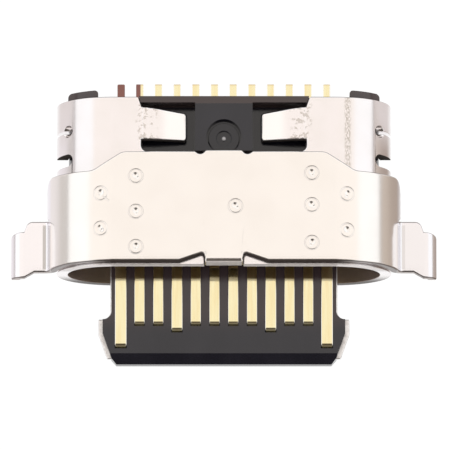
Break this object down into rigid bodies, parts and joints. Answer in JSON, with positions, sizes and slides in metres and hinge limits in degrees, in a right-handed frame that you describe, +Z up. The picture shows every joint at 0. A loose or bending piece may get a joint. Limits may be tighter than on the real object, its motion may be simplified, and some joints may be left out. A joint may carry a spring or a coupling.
{
  "type": "charging port",
  "caption": "Board-mounted charging port with a steel shell in a welded bracket, solder legs, a rear moulding and a tongue of gold contacts that stands out of its mouth.",
  "frame": {"origin": "middle of the mouth, in the plane of the shell's rim and of the tongue's mid plate", "axes": "+X to the right seen from the mouth's side above, +Y from the mouth to the rear, +Z up, away from the board"},
  "size_m": [0.0114, 0.0077, 0.0034],
  "materials": {
    "shell_steel": "bright nickel over stamped stainless steel",
    "bracket_steel": "satin nickel over stamped stainless steel",
    "plate_steel": "bare stainless steel, sheared edges",
    "black_moulding": "matt moulded, faint flow marks",
    "contact_gold": "gold flash over copper alloy"
  },
  "bodies": {
    "root": {"inner_shell": "shell_steel", "mounting_bracket": "bracket_steel", "rear_housing": "black_moulding", "upper_wafer": "black_moulding", "lower_wafer": "black_moulding", "mid_plate": "plate_steel", "upper_contact_1": "contact_gold", "upper_contact_2": "contact_gold", "upper_contact_3": "contact_gold", "upper_contact_4": "contact_gold", "upper_contact_5": "contact_gold", "upper_contact_6": "contact_gold", "upper_contact_7": "contact_gold", "upper_contact_8": "contact_gold", "upper_contact_9": "contact_gold", "upper_contact_10": "contact_gold", "upper_contact_11": "contact_gold", "upper_contact_12": "contact_gold", "lower_contact_1": "contact_gold", "lower_contact_2": "contact_gold", "lower_contact_3": "contact_gold", "lower_contact_4": "contact_gold", "lower_contact_5": "contact_gold", "lower_contact_6": "contact_gold", "lower_contact_7": "contact_gold", "lower_contact_8": "contact_gold", "lower_contact_9": "contact_gold", "lower_contact_10": "contact_gold", "lower_contact_11": "contact_gold", "lower_contact_12": "contact_gold"}
  },
  "joints": []
}
